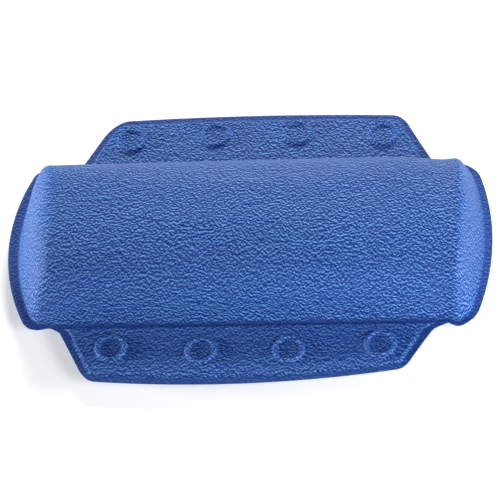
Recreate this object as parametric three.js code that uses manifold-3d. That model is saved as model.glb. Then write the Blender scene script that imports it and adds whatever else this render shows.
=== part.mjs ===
// A bath pillow: a foam-filled bolster between two flanges that fold along its welds and carry
// eight suction cups. Units are millimetres. +X runs along the pillow, +Y towards its upper
// flange and +Z out of its face. The cups stand on z = 0, under the middle of the pillow.
import * as THREE from "three";
import { mergeVertices } from "three/addons/utils/BufferGeometryUtils.js";
import Module from "manifold-3d";

const wasm = await Module();
wasm.setup();

// Sheets and clearances
const frontSheet = 1.8; // embossed front sheet, foamed PVC
const backSheet = 0.8; // smooth back sheet
const weldedFront = 0.5; // the front sheet where a weld has pressed it
const weldedBack = 0.35; // the back sheet where a weld has pressed it
const weldStep = 0.5; // slope beside a weld, from pressed to full thickness
const clearance = 0.3; // between pieces that lie against each other
const foamClearance = 1; // between the foam and the skin drawn over it
const overrun = 1; // how far a cutter passes the face it cuts

// Suction cup, turned about its own axis
const cupRadius = 15;
const cupLip = 1.4; // width of the flat sealing lip
const cupLipEdge = 0.5;
const cupHollow = 3.6; // depth of the bell
const bellShare = 0.66; // of that depth, over the waist
const cupHeight = 8; // from the lip up to the shoulder under the back sheet
const cupWaistRadius = 9;
const cupWaistHeight = 4.8;
const shoulderRadius = 5.2;
const shoulderHeight = 6.4;
const neckRadius = 4;
const headRadius = 9;
const headPlate = 0.5;
const headRim = 1; // how far the head's rim stands above its dished plate
const headRimWidth = 2.4;
const headRimSlope = 1.2;
const cupSides = 24;

// Bolster in plan
const length = 320;
const foldHalf = 64.5; // from the middle line to each fold
const foldGap = 0.9; // the sheets' thin edges on the two sides of a fold
const endRadius = 130; // the bowed ends
const cornerRadius = 11;
const endMargin = 6; // weld margin round the ends
const foldLand = 1.5; // weld beside each fold

// Bolster in section: one rise curve for all sides, and how far each side runs in under it
const domeHeight = 42;
const crown = 2.5;
const frontReach = 48;
const rearReach = 44;
const endReach = 22;
const topCornerRadius = 20;
const cornerLimitShare = 0.45; // the most of a loop's width that one corner takes
const riseShares = [0, 0.33, 0.94, 1];
const frontShares = [0, 0.1, 0.25, 0.124, 1];
const rearShares = [0, 0.25, 0.15, 1];
const endShares = [0, 0.21, 0.66, 0.74, 1];
const riseSteps = 8;
const innerRiseSteps = 5;
const crownShares = [0.62, 0.28];
const innerCrownShares = [0.5];
const footCornerRadius = cornerRadius - foldLand;
const cornerSteps = 4;
const endSteps = 6;
const sideSteps = 10;

// Flanges: the depth runs from the fold to the middle of the bowed outer edge
const flangeDepth = 46.1;
const rootHalf = 121.9;
const tipHalf = 100.4;
const flangeMargin = 5.5;
const foldLandOuter = 3;
const rootFlare = 5; // the rounded notch where a flange meets the bolster
const upperBow = 3.6;
const upperCornerRadius = 11;
const lowerBow = 6;
const lowerCornerRadius = 7;
const flareSteps = 3;

// Suction cup places, from the middle line and from the fold
const cupAcrossOuter = 86;
const cupAcrossInner = 28;
const upperCupOuter = 26.3;
const upperCupInner = 29.5;
const lowerCupOuter = 17.4;
const lowerCupInner = 20.4;

// Imprint that a cup's head leaves in the front sheet over it
const imprintSheet = 0.9; // the stretched sheet's thickness
const imprintSlope = 1.8; // width of the slope outside its ring

// Height of the plane where the two sheets meet
const weldPlane = cupHeight + clearance + backSheet;

// Materials
const skin = new THREE.MeshStandardMaterial({ color: 0x4668ac, roughness: 0.55, metalness: 0 });
const smoothSkin = new THREE.MeshStandardMaterial({ color: 0x3f62a6, roughness: 0.35, metalness: 0 });
const clearVinyl = new THREE.MeshStandardMaterial({ color: 0xc9d6e2, roughness: 0.15, metalness: 0 });
const foam = new THREE.MeshStandardMaterial({ color: 0xe9e4d2, roughness: 0.95, metalness: 0 });

// Turns a closed geometry into a solid, for the joins and cuts
function solidOf(geometry) {
  const bare = geometry.clone();
  bare.deleteAttribute("normal");
  bare.deleteAttribute("uv");
  const merged = mergeVertices(bare);
  const corners = merged.index.array;
  const faces = [];
  for (let i = 0; i < corners.length; i += 3) {
    const [a, b, c] = corners.subarray(i, i + 3);
    if (a !== b && b !== c && c !== a) faces.push(a, b, c);
  }
  const mesh = new wasm.Mesh({
    numProp: 3,
    vertProperties: merged.attributes.position.array,
    triVerts: new Uint32Array(faces),
  });
  return new wasm.Manifold(mesh);
}

// Turns a solid back into a geometry
function geometryOf(solid) {
  const mesh = solid.getMesh();
  const geometry = new THREE.BufferGeometry();
  geometry.setAttribute("position", new THREE.BufferAttribute(mesh.vertProperties, mesh.numProp));
  geometry.setIndex(new THREE.BufferAttribute(mesh.triVerts, 1));
  geometry.computeVertexNormals();
  return geometry;
}

function named(name, geometry, material) {
  const mesh = new THREE.Mesh(geometry, material);
  mesh.name = name;
  return mesh;
}

// Body turned about +Z from [radius, height] pairs, which start and end on the axis
function turned(profile) {
  const points = profile.map(([radius, height]) => new THREE.Vector2(radius, height));
  return new THREE.LatheGeometry(points, cupSides).rotateX(Math.PI / 2);
}

// Closed body through loops of equal counts, from its underside to its top, with both ends capped
function lofted(loops) {
  const count = loops[0].length;
  const faces = [];
  const flat = (loop) => loop.map((p) => new THREE.Vector2(p.x, p.y));
  for (const [a, b, c] of THREE.ShapeUtils.triangulateShape(flat(loops[0]), [])) {
    faces.push(c, b, a);
  }
  for (let level = 0; level + 1 < loops.length; level++) {
    const low = level * count;
    const high = low + count;
    for (let i = 0; i < count; i++) {
      const next = (i + 1) % count;
      faces.push(low + i, low + next, high + next);
      faces.push(low + i, high + next, high + i);
    }
  }
  const top = (loops.length - 1) * count;
  for (const [a, b, c] of THREE.ShapeUtils.triangulateShape(flat(loops[loops.length - 1]), [])) {
    faces.push(top + a, top + b, top + c);
  }
  const geometry = new THREE.BufferGeometry().setFromPoints(loops.flat());
  geometry.setIndex(faces);
  geometry.computeVertexNormals();
  return geometry;
}

// Value of the Bezier curve that its shares control
function bezier(shares, t) {
  let level = shares;
  while (level.length > 1) {
    const lower = level;
    level = lower.slice(1).map((share, i) => THREE.MathUtils.lerp(lower[i], share, t));
  }
  return level[0];
}

// Plan loop of the bolster, drawn in from its outline: straight front and rear edges, bowed ends
// and rounded corners
function planLoop(endInset, frontInset, rearInset, corner, z) {
  const bowRadius = endRadius - endInset;
  const bowCentre = length / 2 - endRadius;
  const front = foldGap / 2 + frontInset - foldHalf;
  const rear = foldHalf - foldGap / 2 - rearInset;
  const radius = Math.min(corner, cornerLimitShare * (rear - front));
  const cornerAt = (y) => {
    const x = bowCentre + Math.sqrt((bowRadius - radius) ** 2 - y ** 2);
    return { x, y, lean: Math.atan2(y, x - bowCentre) };
  };
  const low = cornerAt(front + radius);
  const high = cornerAt(rear - radius);
  const arc = (x, y, reach, from, to, steps) =>
    Array.from({ length: steps + 1 }, (_, i) => {
      const angle = THREE.MathUtils.lerp(from, to, i / steps);
      return [x + reach * Math.cos(angle), y + reach * Math.sin(angle)];
    });
  const right = [
    ...arc(low.x, low.y, radius, -Math.PI / 2, low.lean, cornerSteps),
    ...arc(bowCentre, 0, bowRadius, low.lean, high.lean, endSteps).slice(1, -1),
    ...arc(high.x, high.y, radius, high.lean, Math.PI / 2, cornerSteps),
  ];
  const edge = (from, to, y) =>
    Array.from({ length: sideSteps - 1 }, (_, i) => [THREE.MathUtils.lerp(from, to, (i + 1) / sideSteps), y]);
  const left = right.map(([x, y]) => [-x, y]).reverse();
  const points = [...right, ...edge(high.x, -high.x, rear), ...left, ...edge(-low.x, low.x, front)];
  return points.map(([x, y]) => new THREE.Vector3(x, y, z));
}

// Loops up one dome of the bolster. Depth is how far the dome lies under the outer face, and
// base the height above the weld plane that it rises from.
function domeLoops(depth, base, steps, crowns) {
  const top = weldedFront + domeHeight - depth;
  const loops = [];
  for (let step = 0; step <= steps; step++) {
    const t = step / steps;
    loops.push(
      planLoop(
        endMargin + depth + endReach * bezier(endShares, t),
        foldLand + depth + frontReach * bezier(frontShares, t),
        foldLand + depth + rearReach * bezier(rearShares, t),
        THREE.MathUtils.lerp(footCornerRadius, topCornerRadius, t),
        THREE.MathUtils.lerp(base, top, bezier(riseShares, t)),
      ),
    );
  }
  const rim = loops[loops.length - 1];
  const middle = (frontReach - rearReach) / 2;
  for (const share of crowns) {
    const height = top + crown * (1 - share * share);
    loops.push(rim.map((p) => new THREE.Vector3(p.x * share, THREE.MathUtils.lerp(middle, p.y, share), height)));
  }
  return loops;
}

const bolsterOutline = (z) => planLoop(0, 0, 0, cornerRadius, z);

// Block of foam, flat where it lies on the back sheet
function foamCore() {
  const loops = domeLoops(frontSheet + foamClearance, clearance, innerRiseSteps, innerCrownShares);
  return named("foam_core", lofted(loops), foam);
}

// Front sheet drawn over the foam, with its weld margin
function frontCover() {
  const inside = domeLoops(frontSheet, 0, innerRiseSteps, innerCrownShares).reverse();
  const outside = domeLoops(0, weldedFront, riseSteps, crownShares);
  const loops = [...inside, bolsterOutline(0), bolsterOutline(weldedFront), ...outside];
  return named("front_cover", lofted(loops), skin);
}

// Flat back sheet under the foam, with its weld margin
function backCover() {
  const field = (step, z) => planLoop(endMargin + step, foldLand + step, foldLand + step, footCornerRadius, z);
  const loops = [
    field(weldStep, -backSheet),
    field(0, -weldedBack),
    bolsterOutline(-weldedBack),
    bolsterOutline(0),
  ];
  return named("back_cover", lofted(loops), smoothSkin);
}

// Loop of a flange, with y running outwards from its fold. A positive flare spreads the loop's
// root, and a negative one rounds it.
function flangeLoop(flange, inset, rootInset, flare, z) {
  const rise = flangeDepth - flange.bow;
  const lean = rootHalf - tipHalf;
  const sideInset = (inset * Math.hypot(lean, rise)) / rise;
  const sideX = (y) => rootHalf - (lean * y) / rise - sideInset;
  const tip = new THREE.Vector2(sideX(rise - inset), rise - inset);
  const edgeY = (x) => tip.y + flange.bow * (1 - (x / tip.x) ** 2);
  const root = new THREE.Vector2(sideX(rootInset), rootInset);
  const reach = Math.abs(flare);
  const rootCurve = new THREE.QuadraticBezierCurve(
    new THREE.Vector2(root.x + flare, root.y),
    root,
    new THREE.Vector2(sideX(rootInset + reach), rootInset + reach),
  );
  const round = Math.max(flange.cornerRadius - inset, weldStep);
  const tipCurve = new THREE.QuadraticBezierCurve(
    new THREE.Vector2(sideX(tip.y - round), tip.y - round),
    tip,
    new THREE.Vector2(tip.x - round, edgeY(tip.x - round)),
  );
  const right = [...rootCurve.getPoints(flareSteps), ...tipCurve.getPoints(cornerSteps)];
  const edge = Array.from({ length: sideSteps - 1 }, (_, i) => {
    const x = THREE.MathUtils.lerp(tip.x - round, round - tip.x, (i + 1) / sideSteps);
    return new THREE.Vector2(x, edgeY(x));
  });
  const left = right.map((p) => new THREE.Vector2(-p.x, p.y)).reverse();
  return [...right, ...edge, ...left].map((p) => new THREE.Vector3(p.x, p.y, z));
}

// Loops of a flange sheet from the weld plane outwards, pressed thin round its weld
function flangeSheet(flange, welded, full) {
  const land = foldGap / 2;
  return [
    flangeLoop(flange, 0, land, rootFlare, 0),
    flangeLoop(flange, 0, land, rootFlare, welded),
    flangeLoop(flange, flangeMargin, foldLandOuter, -rootFlare, welded),
    flangeLoop(flange, flangeMargin + weldStep, foldLandOuter + weldStep, -rootFlare, full),
  ];
}

// Profile over a cup's head, from its outer foot to the axis: a ring round a dished middle.
// Gap is how far it clears the head, and fold draws its inner slope in.
function headProfile(gap, fold, foot, slope) {
  const ringTop = clearance + headPlate + headRim + gap;
  const ringInner = headRadius - headRimWidth - fold;
  return [
    [headRadius + slope + fold, foot],
    [headRadius + fold, ringTop],
    [ringInner, ringTop],
    [ringInner - headRimSlope, ringTop - headRim],
    [0, ringTop - headRim],
  ];
}

// Adds the imprints of the cups' heads to the front sheet of a flange, with a pocket under each
function flangeFront(flange) {
  let sheet = solidOf(lofted(flangeSheet(flange, weldedFront, frontSheet)));
  const over = clearance + imprintSheet;
  const rise = headProfile(over, clearance, frontSheet, imprintSlope);
  const imprint = [[0, weldedFront], [headRadius, weldedFront], ...rise];
  const pocket = [[0, -overrun], [headRadius + clearance, -overrun], ...headProfile(clearance, clearance, 0, 0)];
  for (const [x, y] of flange.cups) {
    sheet = sheet.add(solidOf(turned(imprint).translate(x, y, 0)));
    sheet = sheet.subtract(solidOf(turned(pocket).translate(x, y, 0)));
  }
  return named(`${flange.name}_flange_front`, geometryOf(sheet), skin);
}

// Back sheet of a flange, with a hole for each cup's neck
function flangeBack(flange) {
  const loops = flangeSheet(flange, -weldedBack, -backSheet).reverse();
  const bore = neckRadius + clearance;
  const reach = backSheet + overrun;
  const hole = [[0, -reach], [bore, -reach], [bore, overrun], [0, overrun]];
  let sheet = solidOf(lofted(loops));
  for (const [x, y] of flange.cups) {
    sheet = sheet.subtract(solidOf(turned(hole).translate(x, y, 0)));
  }
  return named(`${flange.name}_flange_back`, geometryOf(sheet), smoothSkin);
}

// Suction cup in one moulding: a shallow bell, a neck through the back sheet and a head whose
// ringed plate is caught between the sheets
function suctionCup() {
  const underHead = weldPlane + clearance;
  const head = headProfile(0, 0, clearance, 0).map(([radius, height]) => [radius, weldPlane + height]);
  const bell = [
    [0, cupHollow],
    [cupWaistRadius, cupHollow * bellShare],
    [cupRadius - cupLip, 0],
    [cupRadius, 0],
    [cupRadius, cupLipEdge],
    [cupWaistRadius, cupWaistHeight],
    [shoulderRadius, shoulderHeight],
    [shoulderRadius, cupHeight],
    [neckRadius, cupHeight],
    [neckRadius, underHead],
  ];
  return geometryOf(solidOf(turned([...bell, ...head])));
}

// Flange with its two sheets and four cups, laid out from its fold
function flangeGroup(flange) {
  const group = new THREE.Group();
  group.add(flangeFront(flange), flangeBack(flange));
  flange.cups.forEach(([x, y], i) => {
    const place = flange.turned ? flange.cups.length - i : i + 1;
    const cup = named(`suction_cup_${flange.name}_${place}`, suctionCup(), clearVinyl);
    cup.position.set(x, y, -weldPlane);
    group.add(cup);
  });
  group.position.set(0, flange.turned ? -foldHalf : foldHalf, weldPlane);
  group.rotation.z = flange.turned ? Math.PI : 0;
  return group;
}

// Cup places of a flange, from its left end to its right one
function cupRow(outer, inner) {
  return [
    [-cupAcrossOuter, outer],
    [-cupAcrossInner, inner],
    [cupAcrossInner, inner],
    [cupAcrossOuter, outer],
  ];
}

const upper = {
  name: "upper",
  bow: upperBow,
  cornerRadius: upperCornerRadius,
  cups: cupRow(upperCupOuter, upperCupInner),
  turned: false,
};
const lower = {
  name: "lower",
  bow: lowerBow,
  cornerRadius: lowerCornerRadius,
  cups: cupRow(lowerCupOuter, lowerCupInner),
  turned: true,
};

const bolster = new THREE.Group();
bolster.add(foamCore(), frontCover(), backCover());
bolster.position.z = weldPlane;

const pillow = new THREE.Group();
pillow.add(bolster, flangeGroup(upper), flangeGroup(lower));

export default pillow;
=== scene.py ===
import math

import bmesh
import bpy
from mathutils import Matrix, Vector


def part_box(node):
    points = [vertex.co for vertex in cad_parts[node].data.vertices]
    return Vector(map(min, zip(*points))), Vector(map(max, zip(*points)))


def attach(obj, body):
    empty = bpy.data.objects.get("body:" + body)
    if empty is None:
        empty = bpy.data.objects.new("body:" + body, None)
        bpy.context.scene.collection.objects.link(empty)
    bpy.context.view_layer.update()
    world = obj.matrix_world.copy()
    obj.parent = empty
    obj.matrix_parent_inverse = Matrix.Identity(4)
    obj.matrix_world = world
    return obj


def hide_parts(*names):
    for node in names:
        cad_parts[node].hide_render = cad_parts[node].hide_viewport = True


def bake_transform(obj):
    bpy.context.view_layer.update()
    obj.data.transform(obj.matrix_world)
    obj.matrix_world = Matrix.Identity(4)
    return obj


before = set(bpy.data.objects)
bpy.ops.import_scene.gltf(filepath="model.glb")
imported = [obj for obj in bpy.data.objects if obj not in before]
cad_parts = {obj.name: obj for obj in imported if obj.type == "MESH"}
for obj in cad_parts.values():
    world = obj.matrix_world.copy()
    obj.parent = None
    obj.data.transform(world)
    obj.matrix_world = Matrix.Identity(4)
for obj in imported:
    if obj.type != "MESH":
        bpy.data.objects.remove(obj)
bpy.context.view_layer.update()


# The photographer's view
# The pillow lies face up on a pale surface. It is seen from above its lower edge and a little from
# the right through a long lens, and the camera is rolled, so that the pillow runs uphill to the right.
photo_side = 500  # pixels
focal_pixels = 2247.6
middle_pixel = (250.8, 245.4)  # where the middle of the welded sheets' plane falls
azimuth, elevation, roll = math.radians(9.5), math.radians(52), math.radians(8.7)
camera_distance = 1.479
sensor = 36  # millimetres
near_clip, far_clip = 0.05, 20

weld_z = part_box("front_cover")[0].z  # the plane where the front and back sheets meet
facing = Vector((-math.sin(azimuth), math.cos(azimuth), 0)) * math.cos(elevation)
facing.z = -math.sin(elevation)
level_right = Vector((math.cos(azimuth), math.sin(azimuth), 0))
level_up = level_right.cross(facing)
camera_right = level_right * math.cos(roll) - level_up * math.sin(roll)
camera_up = level_right * math.sin(roll) + level_up * math.cos(roll)
camera = bpy.data.objects.new("camera", bpy.data.cameras.new("camera"))
bpy.context.scene.collection.objects.link(camera)
camera.matrix_world = Matrix((camera_right, camera_up, -facing)).transposed().to_4x4()
camera.location = Vector((0, 0, weld_z)) - facing * camera_distance
camera.data.sensor_width = sensor
camera.data.lens = sensor * focal_pixels / photo_side
camera.data.shift_x = (photo_side / 2 - middle_pixel[0]) / photo_side
camera.data.shift_y = (middle_pixel[1] - photo_side / 2) / photo_side
camera.data.clip_start, camera.data.clip_end = near_clip, far_clip
bpy.context.scene.camera = camera


# Foam core
# One block of soft foam, cut to a flat-topped bolster with bowed ends, that fills the welded skin.
# The pillow was welded a little askew, so its two ends differ in reach and in lean.
foam_low, foam_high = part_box("foam_core")
cover_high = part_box("front_cover")[1]
fold_edge = cover_high.y
left_reach, right_reach = cover_high.x + 0.0020, cover_high.x - 0.0018
left_bow, right_bow = 0.136, 0.170  # radii of the bowed ends
left_lean, right_lean = 0.046, 0.026  # how much further they reach for each metre of y
corner_radii = {(-1, -1): 0.011, (-1, 1): 0.008, (1, -1): 0.019, (1, 1): 0.019}  # by the signs of x and y
corner_swells = {(-1, -1): 0.0015, (-1, 1): 0.0030, (1, -1): 0.0046, (1, 1): 0.0015}  # past the folds
left_margin, right_margin = 0.007, 0.0045  # of flat weld beyond the foam
fold_land = 0.0015  # of flat weld beside a fold
pressed_front = 0.0005  # the front sheet where a weld has pressed it
bolster_crown = 0.0025  # how much higher the top's middle lies
bolster_height = cover_high.z - weld_z - pressed_front - bolster_crown
front_run, rear_run = 0.048, 0.044  # how far each side of the bolster runs in before the top
left_run, right_run = 0.029, 0.016
rise_shares = (0, 0.33, 0.94, 1)  # the sides' shape, as Bezier shares: of the height, then of each run
front_shares = (0, 0.1, 0.25, 0.124, 1)
rear_shares = (0, 0.25, 0.15, 1)
left_shares = (0, 0.15, 0.45, 0.60, 1)
right_shares = (0, 0.21, 0.60, 0.70, 1)
hip_power = 4  # how sharply two sides meet at a corner
crown_power = 4  # how little the crown falls before it nears the ends
rear_left_fill = 0.0035  # how far the left end's slope is blown out near its rear corner
rear_right_droop = 0.0040  # how much lower the rear right corner of the top lies
right_droop = 0.0018  # how much lower the top lies at the right end
swell_zone = (0.127, 0.009)  # where each of these changes starts, and how far it takes to be whole
fill_zone = (0.015, 0.035)
droop_zone = (0.09, 0.045)
rear_droop_along, rear_droop_across = (0.10, 0.040), (0.005, 0.040)
sheet_room = 0.001  # between the foam and the sheet over it
foam_depth = cover_high.z - foam_high.z + sheet_room
foam_foot = 0.003  # height over which the foam's sides come down to its base
foam_rise_steps, foam_along_steps, foam_across_steps = 10, 40, 12
foam_touching = 0.00005  # points of the foam nearer than this are one
factor, value_a, value_b, colour_a, colour_b = 0, 2, 3, 6, 7  # a Mix node's inputs, by number
mixed_value, mixed_colour = 0, 2  # and its outputs


def bezier(shares, t):
    """Value of the Bezier curve that its shares control"""
    while len(shares) > 1:
        shares = [low + (high - low) * t for low, high in zip(shares, shares[1:])]
    return shares[0]


def smooth_step(value, start, width):
    """0 up to start, 1 from start + width"""
    t = min(max((value - start) / width, 0), 1)
    return t * t * (3 - 2 * t)


def grid_lines(low_edge, high_edge, low_side, high_side, rise_steps, top_steps):
    """Grid lines from one edge over both sides and the top, as (place, level) pairs

    A side is (margin, margin_steps, run, shares).
    """
    halves = []
    for margin, margin_steps, run, shares in (low_side, high_side):
        half = [(margin * i / margin_steps, 0) for i in range(margin_steps)]
        for i in range(rise_steps + 1):
            half.append((margin + run * bezier(shares, i / rise_steps), i / rise_steps))
        halves.append(half)
    low = [(low_edge + inset, level) for inset, level in halves[0]]
    high = [(high_edge - inset, level) for inset, level in reversed(halves[1])]
    start, end = low[-1][0], high[0][0]
    top = [(start + (end - start) * i / top_steps, 1) for i in range(1, top_steps)]
    return low + top + high


def end_reach_at(y, reach, bow, lean, radius):
    """How far an end of the bolster reaches at y: a bow with rounded corners"""
    corner_y = fold_edge - radius
    corner_x = reach - bow + math.sqrt((bow - radius) ** 2 - corner_y**2)
    if abs(y) < corner_y * bow / (bow - radius):
        return reach - bow + math.sqrt(bow**2 - y * y) + lean * y
    return corner_x + math.sqrt(max(radius**2 - (abs(y) - corner_y) ** 2, 0)) + lean * y


def bolster_plan(along, y):
    """Place in plan of a point along a straight bolster, carried to the bowed ends"""
    corner = math.copysign(1, along), math.copysign(1, y)
    if along < 0:
        reach, bow, lean = left_reach, left_bow, left_lean
    else:
        reach, bow, lean = right_reach, right_bow, right_lean
    x = along * end_reach_at(y, reach, bow, lean, corner_radii[corner]) / reach
    return x, y * (1 + corner_swells[corner] / fold_edge * smooth_step(abs(x), *swell_zone))


def bolster_form(along_line, across_line, depth):
    """Point on the bolster's top, lying depth under its outer face"""
    along, end_level = along_line
    across, side_level = across_line
    x, y = bolster_plan(along, across)
    if along < 0:
        bulge = 4 * end_level * (1 - end_level)  # 1 halfway up
        x -= rear_left_fill * bulge * smooth_step(y, *fill_zone)
    fall = ((1 - end_level) ** hip_power + (1 - side_level) ** hip_power) ** (1 / hip_power)
    rise = bezier(rise_shares, max(1 - fall, 0))
    crown = bolster_crown * (1 - (y / fold_edge) ** 2) * (1 - (along / left_reach) ** crown_power)
    crown -= right_droop * smooth_step(along, *droop_zone)
    crown -= rear_right_droop * smooth_step(along, *rear_droop_along) * smooth_step(y, *rear_droop_across)
    return Vector((x, y, weld_z + pressed_front + rise * (bolster_height + crown - depth)))


def grid_mesh(columns, rows, place, facing_up=True):
    """New bmesh grid, each vertex put where place(column, row) says"""
    grid = bmesh.new()
    bmesh.ops.create_grid(grid, x_segments=columns, y_segments=rows, size=1)
    for vert in grid.verts:
        column = round((vert.co.x + 1) / 2 * columns)
        row = round((vert.co.y + 1) / 2 * rows)
        vert.co = place(column, row)
    bmesh.ops.recalc_face_normals(grid, faces=grid.faces)
    if (sum(face.normal.z for face in grid.faces) > 0) != facing_up:
        bmesh.ops.reverse_faces(grid, faces=grid.faces)
    return grid


def finished_piece(name, shape, material):
    """New piece from a bmesh, shaded smooth"""
    mesh = bpy.data.meshes.new(name)
    shape.to_mesh(mesh)
    shape.free()
    mesh.shade_smooth()
    mesh.materials.append(material)
    piece = bpy.data.objects.new(name, mesh)
    bpy.context.scene.collection.objects.link(piece)
    return piece


def new_material(name):
    """New material, with its node tree and its shader"""
    material = bpy.data.materials.new(name)
    material.use_nodes = True
    return material, material.node_tree, material.node_tree.nodes["Principled BSDF"]


def feed(tree, value, socket):
    """Gives a socket its value: a constant, or what another node's socket puts out"""
    if isinstance(value, bpy.types.NodeSocket):
        tree.links.new(value, socket)
    else:
        socket.default_value = value


def texture(tree, kind, **settings):
    """First output of a texture node, with its inputs set by name"""
    node = tree.nodes.new(kind)
    for name, value in settings.items():
        feed(tree, value, node.inputs[name])
    return node.outputs[0]


def colour_between(tree, share, first, second):
    """Colour that goes from first to second as share goes from 0 to 1"""
    mix = tree.nodes.new("ShaderNodeMix")
    mix.data_type = "RGBA"
    for value, socket in ((share, factor), (first, colour_a), (second, colour_b)):
        feed(tree, value, mix.inputs[socket])
    return mix.outputs[mixed_colour]


def add_bump(tree, height, distance):
    """Lets the shader's surface rise with height, by up to distance"""
    bump = tree.nodes.new("ShaderNodeBump")
    feed(tree, distance, bump.inputs["Distance"])
    feed(tree, height, bump.inputs["Height"])
    feed(tree, bump.outputs["Normal"], tree.nodes["Principled BSDF"].inputs["Normal"])


def open_foam():
    """Pale open-cell foam, pitted with fine cells"""
    material, tree, shader = new_material("open_cell_foam")
    shader.inputs["Roughness"].default_value = 0.95
    place = tree.nodes.new("ShaderNodeTexCoord").outputs["Object"]
    cells = texture(tree, "ShaderNodeTexVoronoi", Vector=place, Scale=900)
    colour = colour_between(tree, cells, (0.62, 0.57, 0.42, 1), (0.84, 0.80, 0.64, 1))
    feed(tree, colour, shader.inputs["Base Color"])
    add_bump(tree, cells, distance=0.0006)
    return material


foam_columns = grid_lines(
    -left_reach,
    right_reach,
    (left_margin + foam_depth, 1, left_run, left_shares),
    (right_margin + foam_depth, 1, right_run, right_shares),
    foam_rise_steps,
    foam_along_steps,
)[1:-1]
foam_rows = grid_lines(
    -fold_edge,
    fold_edge,
    (fold_land + foam_depth, 1, front_run, front_shares),
    (fold_land + foam_depth, 1, rear_run, rear_shares),
    foam_rise_steps,
    foam_across_steps,
)[1:-1]


def foam_top(column, row):
    """Place on the foam's top and sides"""
    point = bolster_form(foam_columns[column], foam_rows[row], foam_depth)
    to_base = Vector((0, 0, foam_low.z - weld_z - pressed_front))
    return point + to_base * (1 - smooth_step(point.z, weld_z, foam_foot))


def foam_base(column, row):
    """Place on the foam's flat base"""
    point = foam_top(column, row)
    return Vector((point.x, point.y, foam_low.z))


foam_shape = grid_mesh(len(foam_columns) - 1, len(foam_rows) - 1, foam_top)
base_shape = grid_mesh(len(foam_columns) - 1, len(foam_rows) - 1, foam_base, facing_up=False)
base_mesh = bpy.data.meshes.new("foam_base")
base_shape.to_mesh(base_mesh)
base_shape.free()
foam_shape.from_mesh(base_mesh)
bpy.data.meshes.remove(base_mesh)
bmesh.ops.remove_doubles(foam_shape, verts=foam_shape.verts, dist=foam_touching)
foam_core = finished_piece("foam_block", foam_shape, open_foam())
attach(foam_core, "bolster")
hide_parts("foam_core")


# Front sheet over the bolster
# One embossed, slightly spongy PVC sheet, drawn over the foam and pressed thin in a weld all round
# it: a margin at the bowed ends, and a narrow land beside each fold. It is a grid lifted to the
# foam's form, then blown out a little as cloth held at its welds.
front_thickness = 0.0018
pressed_share = pressed_front / front_thickness
rise_steps, along_steps, across_steps, margin_steps, land_steps = 26, 80, 20, 3, 2
cloth_frames = 20
swell_rise = 0.03  # height over which the cloth comes to swell in full
weld_shade = (0.28, 0.2)  # up to this share of its thickness a sheet gets the weld's painted shade in full, then less and less
above_weld_zone = (weld_z + pressed_front + 0.0002, 0.0035)
grain_shift = 0.0004  # how far up and down the slope the grain's height is compared, for the grains' painted light and shade
bolster_columns = grid_lines(
    -left_reach,
    right_reach,
    (left_margin, margin_steps, left_run, left_shares),
    (right_margin, margin_steps, right_run, right_shares),
    rise_steps,
    along_steps,
)
bolster_rows = grid_lines(
    -fold_edge,
    fold_edge,
    (fold_land, land_steps, front_run, front_shares),
    (fold_land, land_steps, rear_run, rear_shares),
    rise_steps,
    across_steps,
)


def operate(tree, kind, operation, *values):
    """What a maths node makes of the values"""
    node = tree.nodes.new(kind)
    node.operation = operation
    for value, socket in zip(values, node.inputs):
        feed(tree, value, socket)
    return node.outputs[0]


def map_range(tree, value, limits, interpolation="LINEAR"):
    """Value spread between new limits"""
    spread = tree.nodes.new("ShaderNodeMapRange")
    spread.interpolation_type = interpolation
    feed(tree, value, spread.inputs["Value"])
    for name, limit in limits.items():
        feed(tree, limit, spread.inputs[name])
    return spread.outputs[0]


def emboss_group():
    """Node group of the terry-like emboss: its height, and painted light and shade on each grain, paler on
    its side that faces up the slope, towards the lamp behind
    """
    group = bpy.data.node_groups.new("terry_emboss_with_painted_shade", "ShaderNodeTree")
    for name, way, kind in (
        ("Vector", "INPUT", "NodeSocketVector"),
        ("Normal", "INPUT", "NodeSocketVector"),
        ("Grains per metre", "INPUT", "NodeSocketFloat"),
        ("Height", "OUTPUT", "NodeSocketFloat"),
        ("Painted grain shade", "OUTPUT", "NodeSocketFloat"),
    ):
        group.interface.new_socket(name, in_out=way, socket_type=kind)
    given = group.nodes.new("NodeGroupInput").outputs
    results = group.nodes.new("NodeGroupOutput").inputs
    across = operate(group, "ShaderNodeVectorMath", "CROSS_PRODUCT", given["Normal"], (1, 0, 0))
    uphill = operate(group, "ShaderNodeVectorMath", "NORMALIZE", across)
    grains = []
    for shift in (0, grain_shift, -grain_shift):
        shifts = (shift, shift, shift)
        place = operate(group, "ShaderNodeVectorMath", "MULTIPLY_ADD", uphill, shifts, given["Vector"])
        form = {"Scale": given["Grains per metre"], "Detail": 1, "Roughness": 0.4, "Distortion": 0.3}
        grains.append(texture(group, "ShaderNodeTexNoise", Vector=place, **form))
    level, upper, lower = grains
    height = map_range(group, level, {"From Min": 0.3, "From Max": 0.7}, "SMOOTHSTEP")
    # painted light and shade: how far the grain falls going up the slope, so grains facing the lamp behind
    # come out paler
    lean = operate(group, "ShaderNodeMath", "SUBTRACT", lower, upper)
    painted_grain_shade = map_range(group, lean, {"From Min": -0.09, "From Max": 0.26}, "SMOOTHSTEP")
    feed(group, height, results["Height"])
    feed(group, painted_grain_shade, results["Painted grain shade"])
    return group


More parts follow.
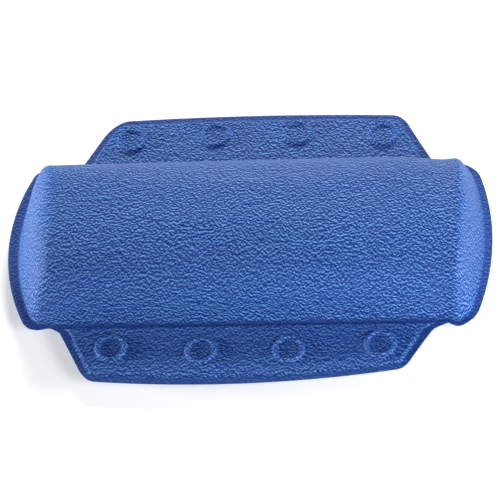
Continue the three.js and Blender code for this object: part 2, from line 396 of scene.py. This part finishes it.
def embossed_vinyl_with_painted_shade():
    """Blue PVC with the terry emboss, satin, each grain given painted light and shade, paler on its side
    facing up the slope, and painted shade darkening it in a weld
    """
    material, tree, shader = new_material("embossed_vinyl_with_painted_shade")
    shader.inputs["Roughness"].default_value = 0.62
    shader.inputs["Specular IOR Level"].default_value = 0.25
    place = tree.nodes.new("ShaderNodeTexCoord").outputs
    emboss = tree.nodes.new("ShaderNodeGroup")
    emboss.node_tree = emboss_group()
    emboss.inputs["Grains per metre"].default_value = 700
    feed(tree, place["Object"], emboss.inputs["Vector"])
    feed(tree, place["Normal"], emboss.inputs["Normal"])
    add_bump(tree, emboss.outputs["Height"], distance=0.0004)
    painted_grain_shade = emboss.outputs["Painted grain shade"]
    # painted light and shade on the grains: deep blue on their down-slope sides, pale blue on their up-slope
    # sides
    colour = colour_between(tree, painted_grain_shade, (0.002, 0.026, 0.228, 1), (0.118, 0.334, 0.735, 1))
    # painted shade: a darker blue on the flat welds round the bolster and the flanges
    pressed = tree.nodes.new("ShaderNodeAttribute")
    pressed.attribute_name = "pressed"
    weld = operate(tree, "ShaderNodeMath", "MULTIPLY", pressed.outputs["Fac"], 0.7)
    colour_with_weld_shade = colour_between(tree, weld, colour, (0.006, 0.040, 0.230, 1))
    feed(tree, colour_with_weld_shade, shader.inputs["Base Color"])
    return material


def apply_modifiers(piece):
    """Makes the piece's modifiers part of its mesh"""
    graph = bpy.context.evaluated_depsgraph_get()
    mesh = bpy.data.meshes.new_from_object(piece.evaluated_get(graph))
    piece.modifiers.clear()
    piece.data = mesh


def blow_out(piece, held, pressure, cap, pulled_in):
    """Swells a sheet as cloth from inside, held where held(point) is 1

    No point moves further out than cap, or further in than pulled_in.
    """
    pins = piece.vertex_groups.new(name="held")
    for vert in piece.data.vertices:
        pins.add([vert.index], held(vert.co), "REPLACE")
    cloth = piece.modifiers.new("cloth", "CLOTH")
    cloth.settings.quality = 6
    cloth.settings.mass = 0.3
    cloth.settings.tension_stiffness = 20
    cloth.settings.compression_stiffness = 20
    cloth.settings.shear_stiffness = 10
    cloth.settings.bending_stiffness = 4
    cloth.settings.vertex_group_mass = pins.name
    cloth.settings.use_pressure = True
    cloth.settings.uniform_pressure_force = pressure
    cloth.settings.effector_weights.gravity = 0
    for number in range(1, cloth_frames + 1):
        bpy.context.scene.frame_set(number)
    graph = bpy.context.evaluated_depsgraph_get()
    swollen = [vert.co.copy() for vert in piece.evaluated_get(graph).data.vertices]
    piece.modifiers.remove(cloth)
    outward = [vert.normal.copy() for vert in piece.data.vertices]
    for vert, place, normal in zip(piece.data.vertices, swollen, outward):
        step = (place - vert.co).dot(normal)
        most = cap if step > 0 else pulled_in
        vert.co += normal * (most * math.tanh(step / most)) * smooth_step(vert.co.z, weld_z, swell_rise)
    piece.vertex_groups.remove(pins)
    bpy.context.scene.frame_set(1)


def thicken(piece, thickness, share_at):
    """Gives a sheet its thickness behind its outer face, times share_at(point), and marks its pressed welds,
    which the embossed sheet's material darkens as painted shade
    """
    shares = [share_at(vert.co) for vert in piece.data.vertices]
    group = piece.vertex_groups.new(name="thickness")
    for index, share in enumerate(shares):
        group.add([index], share, "REPLACE")
    pressed = piece.data.attributes.new("pressed", "FLOAT", "POINT")
    pressed.data.foreach_set("value", [1 - smooth_step(share, *weld_shade) for share in shares])
    wall = piece.modifiers.new("wall", "SOLIDIFY")
    wall.thickness = thickness
    wall.offset = -1
    wall.vertex_group = group.name
    apply_modifiers(piece)
    piece.vertex_groups.clear()


def above_weld(point):
    """0 on the flat weld round the bolster, and 1 from a few millimetres up"""
    return smooth_step(point.z, *above_weld_zone)


def bolster_place(column, row):
    """Place on the outer face of the sheet, before it is blown out"""
    return bolster_form(bolster_columns[column], bolster_rows[row], 0)


def bolster_share(point):
    """Share of its thickness that the sheet has, which a weld has pressed thin"""
    return pressed_share + (1 - pressed_share) * above_weld(point)


vinyl = embossed_vinyl_with_painted_shade()
bolster_shape = grid_mesh(len(bolster_columns) - 1, len(bolster_rows) - 1, bolster_place)
bolster_front = finished_piece("bolster_front_sheet", bolster_shape, vinyl)
blow_out(bolster_front, lambda point: 1 - above_weld(point), pressure=3, cap=0.003, pulled_in=0.001)
smooth = bolster_front.modifiers.new("smooth", "SUBSURF")
smooth.levels = smooth.render_levels = 1
apply_modifiers(bolster_front)
thicken(bolster_front, front_thickness, bolster_share)
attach(bolster_front, "bolster")
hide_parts("front_cover")


# Back sheet under the bolster
# One smooth, thinner PVC sheet, flat under the foam and welded to the front sheet all round.
back_thickness = weld_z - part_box("back_cover")[0].z
pressed_back = 0.00035
weld_slope = 0.0005  # width over which the pressed sheet comes to its whole thickness
back_along_steps, back_across_steps = 64, 26
weld_lines = 3  # grid lines on each weld


def smooth_vinyl():
    """Blue PVC with a calendered surface: a soft gloss over a faint orange peel"""
    material, tree, shader = new_material("smooth_vinyl")
    shader.inputs["Specular IOR Level"].default_value = 0.3
    place = tree.nodes.new("ShaderNodeTexCoord").outputs["Object"]
    peel = texture(tree, "ShaderNodeTexNoise", Vector=place, Scale=260, Detail=2)
    cloud = texture(tree, "ShaderNodeTexNoise", Vector=place, Scale=24, Detail=3)
    gloss = map_range(tree, cloud, {"To Min": 0.28, "To Max": 0.44})
    feed(tree, gloss, shader.inputs["Roughness"])
    colour = colour_between(tree, cloud, (0.036, 0.098, 0.340, 1), (0.052, 0.128, 0.405, 1))
    feed(tree, colour, shader.inputs["Base Color"])
    add_bump(tree, peel, distance=0.00012)
    return material


def back_lines(low_edge, high_edge, low_margin, high_margin, steps):
    """Grid lines of a back sheet, close together over its weld's slope"""
    low, high = (
        [edge + sign * inset for inset in (0, margin / 2, margin, margin + weld_slope)]
        for edge, sign, margin in ((low_edge, 1, low_margin), (high_edge, -1, high_margin))
    )
    return low + [low[-1] + (high[-1] - low[-1]) * i / steps for i in range(1, steps)] + high[::-1]


back_columns = back_lines(-left_reach, right_reach, left_margin, right_margin, back_along_steps)
back_rows = back_lines(-fold_edge, fold_edge, fold_land, fold_land, back_across_steps)


def back_point(column, row):
    """Place on the outer face of the back sheet"""
    along, across = back_columns[column], back_rows[row]
    x, y = bolster_plan(along, across)
    from_edge = min(column, row, len(back_columns) - 1 - column, len(back_rows) - 1 - row)
    return Vector((x, y, weld_z - (pressed_back if from_edge < weld_lines else back_thickness)))


def back_share(point):
    """Share of its thickness that a back sheet has at a point of its outer face"""
    return (weld_z - point.z) / back_thickness


smooth_blue = smooth_vinyl()
back_shape = grid_mesh(len(back_columns) - 1, len(back_rows) - 1, back_point, facing_up=False)
bolster_back = finished_piece("bolster_back_sheet", back_shape, smooth_blue)
thicken(bolster_back, back_thickness, back_share)
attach(bolster_back, "bolster")
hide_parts("back_cover")


# Front sheet over each flange
# The same embossed sheet runs on past the fold. It is pressed flat round the flange's edge, where a
# line of weld beads closes it, and it is stretched over the ringed head of each suction cup.
flange_columns, flange_rows = 400, 76
cups = range(1, 5)  # on each flange
flange_margin = 0.0055  # of flat weld round the edge
margin_rise = (flange_margin, 0.0012)  # where the sheet comes to its whole thickness
fold_rise = (0.001, 0.0012)
corner_cut = 0.7  # how much of its radius a rounded corner takes off
bead_width, bead_height, bead_pitch, bead_wave = 0.0009, 0.0012, 0.003, 0.25
bead_zone = (0.008, 0.008)  # from the fold
head_radius = 0.009
ring_height, dish_depth = 0.0022, 0.0017
ring_zone, dish_zone = (head_radius + 0.0002, 0.0015), (head_radius - 0.0024, 0.0022)
stretch_zone = (head_radius, 0.003)
stretched_share = 0.5  # of its thickness that the sheet keeps over a head
flanges = {
    "upper": {
        "sign": 1, "root": 0.1214, "tip": 0.0992, "depth": 0.0479, "bow": 0.0026, "tilt": 0.0033,
        "corners": (0.014, 0.008), "flares": (0.005, 0.005),
    },
    "lower": {
        "sign": -1, "root": 0.1234, "tip": 0.1016, "depth": 0.0452, "bow": 0.0066, "tilt": 0.030,
        "corners": (0.008, 0.006), "flares": (0.005, 0.009),
    },
}


def flange_place(flange, share, row_share):
    """x, reach from the fold, and distance to the side's edge and to the tip's, of a place on a flange

    share goes from -1 at the left end to 1, and row_share from 0 at the fold to 1 at the tip.
    """
    rise = flange["depth"] - flange["bow"]
    lean = (flange["root"] - flange["tip"]) / rise
    y = rise * row_share
    end = 0 if share < 0 else 1
    corner, flare = flange["corners"][end], flange["flares"][end]
    cut = max(0, y - rise + corner) / corner
    rounding = corner * corner_cut * (1 - math.sqrt(max(0, 1 - cut * cut)))
    half = flange["root"] - lean * y + flare * max(0, 1 - y / flare) ** 2 - rounding
    x = share * half
    out = y + row_share * (flange["bow"] * (1 - (x / flange["tip"]) ** 2) - flange["tilt"] * x)
    side = (half - abs(x)) / math.hypot(1, lean)
    tip = (rise - y) * flange["depth"] / rise
    return x, out, side, tip


def head_relief(distance):
    """How far the sheet is lifted over a cup's head: a ring round a dished middle"""
    outer = 1 - smooth_step(distance, *ring_zone)
    dish = 1 - smooth_step(distance, *dish_zone)
    return ring_height * outer - dish_depth * dish


def flange_front(name, flange):
    """Front sheet of a flange"""
    heads = [sum(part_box(f"suction_cup_{name}_{i}"), Vector()) / 2 for i in cups]

    def off_heads(x, y):
        return min(math.hypot(x - head.x, y - head.y) for head in heads)

    def point(column, row):
        x, out, side, tip = flange_place(flange, 2 * column / flange_columns - 1, row / flange_rows)
        y = flange["sign"] * (fold_edge + out)
        inset = min(side, tip)
        full = smooth_step(inset, *margin_rise) * smooth_step(out, *fold_rise)
        bead = math.exp(-(((inset - flange_margin) / bead_width) ** 2)) * smooth_step(out, *bead_zone)
        run = out if side < tip else x
        z = pressed_front + (front_thickness - pressed_front) * full
        z += bead_height * bead * (1 - bead_wave + bead_wave * math.cos(2 * math.pi * run / bead_pitch))
        return Vector((x, y, weld_z + z + head_relief(off_heads(x, y))))

    def share_at(point):
        over_head = 1 - smooth_step(off_heads(point.x, point.y), *stretch_zone)
        lift = (point.z - weld_z) / front_thickness
        return min(lift, 1) * (1 - over_head) + stretched_share * over_head

    shape = grid_mesh(flange_columns, flange_rows, point)
    sheet = finished_piece(f"{name}_flange_front_sheet", shape, vinyl)
    thicken(sheet, front_thickness, share_at)
    return sheet


def across_fold(sheet):
    """Bakes the sheet's placement into its mesh"""
    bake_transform(sheet)


for name, flange in flanges.items():
    sheet = flange_front(name, flange)
    across_fold(sheet)
    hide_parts(f"{name}_flange_front")


# Back sheet under each flange
# The smooth sheet runs on past the fold too, welded round the edge, with a hole for each cup's neck.
neck_hole = 0.0043  # radius
back_flange_columns, back_flange_rows = 220, 46
back_fold_rise = (0.0025, 0.0012)


def flange_back(name, flange):
    """Back sheet of a flange"""

    def point(column, row):
        share = 2 * column / back_flange_columns - 1
        x, out, side, tip = flange_place(flange, share, row / back_flange_rows)
        full = smooth_step(min(side, tip), *margin_rise) * smooth_step(out, *back_fold_rise)
        z = pressed_back + (back_thickness - pressed_back) * full
        return Vector((x, flange["sign"] * (fold_edge + out), weld_z - z))

    shape = grid_mesh(back_flange_columns, back_flange_rows, point, facing_up=False)
    for i in cups:
        neck = (sum(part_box(f"suction_cup_{name}_{i}"), Vector()) / 2).xy
        inside = [vert for vert in shape.verts if (vert.co.xy - neck).length < neck_hole]
        rim = {edge.other_vert(vert) for vert in inside for edge in vert.link_edges} - set(inside)
        bmesh.ops.delete(shape, geom=inside, context="VERTS")
        for vert in rim:
            away = (vert.co.xy - neck).to_3d()
            vert.co += away * (neck_hole / away.length - 1)
    sheet = finished_piece(f"{name}_flange_back_sheet", shape, smooth_blue)
    thicken(sheet, back_thickness, back_share)
    return sheet


for name, flange in flanges.items():
    sheet = flange_back(name, flange)
    across_fold(sheet)
    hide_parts(f"{name}_flange_back")


# Suction cups
# Eight mouldings in clear soft PVC: a shallow bell with a thin lip, a neck through the back sheet,
# and a head with a raised ring that is caught between the sheets.
cup_profile = [  # radius and height, in millimetres, from the middle of the bell to that of the head
    (0, 3.6), (3, 3.5), (6, 3.05), (9, 2.3), (11.4, 1.2), (13.2, 0.15), (13.7, 0), (14.7, 0), (15, 0.2),
    (14.9, 0.5), (13.7, 1.2), (11.6, 2.75), (9.3, 4.5), (7.2, 5.6), (5.6, 6.4), (5.2, 6.8), (5.2, 7.7),
    (4.9, 8), (4.2, 8.05), (4, 8.3), (4, 9.1), (4.2, 9.35), (8.6, 9.4), (9, 9.7), (9, 10.5), (8.7, 10.9),
    (6.9, 10.9), (6.3, 10.7), (5.6, 9.95), (5, 9.9), (0, 9.9),
]
per_metre = 1000  # millimetres
cup_facets = 40
cup_touching = 0.00001  # points of a cup nearer than this are one


def clear_vinyl():
    """Clear soft PVC with a faint haze"""
    material, tree, shader = new_material("clear_vinyl")
    shader.inputs["Transmission Weight"].default_value = 0.85
    shader.inputs["IOR"].default_value = 1.5
    shader.inputs["Base Color"].default_value = (0.86, 0.91, 0.95, 1)
    place = tree.nodes.new("ShaderNodeTexCoord").outputs["Object"]
    haze = texture(tree, "ShaderNodeTexNoise", Vector=place, Scale=180, Detail=3)
    gloss = map_range(tree, haze, {"To Min": 0.06, "To Max": 0.22})
    feed(tree, gloss, shader.inputs["Roughness"])
    return material


def cup_moulding(lip_middle):
    """Cup turned from its profile, with the middle of its sealing lip where it says"""
    cup = bmesh.new()
    outline = [cup.verts.new((radius / per_metre, 0, height / per_metre)) for radius, height in cup_profile]
    edges = [cup.edges.new(pair) for pair in zip(outline, outline[1:])]
    upright, centre = (0, 0, 1), (0, 0, 0)
    bmesh.ops.spin(
        cup,
        geom=outline + edges,
        axis=upright,
        cent=centre,
        steps=cup_facets,
        angle=math.tau,
        use_merge=True,
    )
    bmesh.ops.remove_doubles(cup, verts=cup.verts, dist=cup_touching)
    bmesh.ops.recalc_face_normals(cup, faces=cup.faces)
    bmesh.ops.translate(cup, verts=cup.verts, vec=lip_middle)
    return cup


clear_soft_vinyl = clear_vinyl()
for name in flanges:
    for i in cups:
        node = f"suction_cup_{name}_{i}"
        low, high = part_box(node)
        lip_middle = Vector(((low.x + high.x) / 2, (low.y + high.y) / 2, low.z))
        cup = finished_piece(f"cup_{name}_{i}", cup_moulding(lip_middle), clear_soft_vinyl)
        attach(cup, f"cup_{name}_{i}")
        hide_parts(node)


# Surface and light
# A white sweep under five soft lamps: the strongest behind, a low one at each end and in front, and
# a near one in front on the right. The sweep glows white in reflections only: painted reflection on the
# sheet's steep ends.
floor_reach = 4
floor_mesh = bpy.data.meshes.new("floor")
ground = bmesh.new()
bmesh.ops.create_grid(ground, x_segments=1, y_segments=1, size=floor_reach)
ground.to_mesh(floor_mesh)
ground.free()
floor = bpy.data.objects.new("floor", floor_mesh)
bpy.context.scene.collection.objects.link(floor)


def set_strength(tree, strength_socket, lit, mirrored, seen):
    """Gives a surround its strength as a lamp, as mirrored by a sheet and as seen, also through a cup"""
    rays = tree.nodes.new("ShaderNodeLightPath").outputs
    strength = lit
    for kind, value in (("Is Glossy Ray", mirrored), ("Is Transmission Ray", seen), ("Is Camera Ray", seen)):
        mix = tree.nodes.new("ShaderNodeMix")
        feed(tree, rays[kind], mix.inputs[factor])
        feed(tree, strength, mix.inputs[value_a])
        feed(tree, value, mix.inputs[value_b])
        strength = mix.outputs[mixed_value]
    feed(tree, strength, strength_socket)


white = (1, 1, 1, 1)
paper, paper_tree, paper_shader = new_material("white_paper")
paper_shader.inputs["Base Color"].default_value = (0.85, 0.85, 0.85, 1)
paper_shader.inputs["Roughness"].default_value = 1
paper_shader.inputs["Emission Color"].default_value = white
# painted reflection: the paper glows at strength 1 in reflections only, which whitens the sheet's steep ends
set_strength(paper_tree, paper_shader.inputs["Emission Strength"], lit=0, mirrored=1, seen=0.35)
floor_mesh.materials.append(paper)

world = bpy.data.worlds.new("studio")
bpy.context.scene.world = world
world.use_nodes = True
background = world.node_tree.nodes["Background"]
background.inputs["Color"].default_value = white
set_strength(world.node_tree, background.inputs["Strength"], lit=0.04, mirrored=0.04, seen=1)


def lamp(name, place, size, power):
    """Square soft lamp that points at the pillow"""
    light = bpy.data.lights.new(name, "AREA")
    light.shape = "SQUARE"
    light.size = size
    light.energy = power
    holder = bpy.data.objects.new(name, light)
    holder.location = place
    holder.rotation_euler = (-Vector(place)).to_track_quat("-Z", "Y").to_euler()
    bpy.context.scene.collection.objects.link(holder)


lamp("rear_lamp", (0.10, 1.37, 0.82), size=0.5, power=25.5)
lamp("left_lamp", (-1.51, 0, 0.20), size=0.3, power=30)
lamp("right_lamp", (1.52, -0.25, 0.20), size=0.3, power=11.5)
lamp("key_lamp", (0.45, -0.40, 0.36), size=0.3, power=3.7)
lamp("front_lamp", (0.20, -1.50, 0.27), size=0.4, power=4.5)

bpy.context.scene.view_settings.view_transform = "Standard"
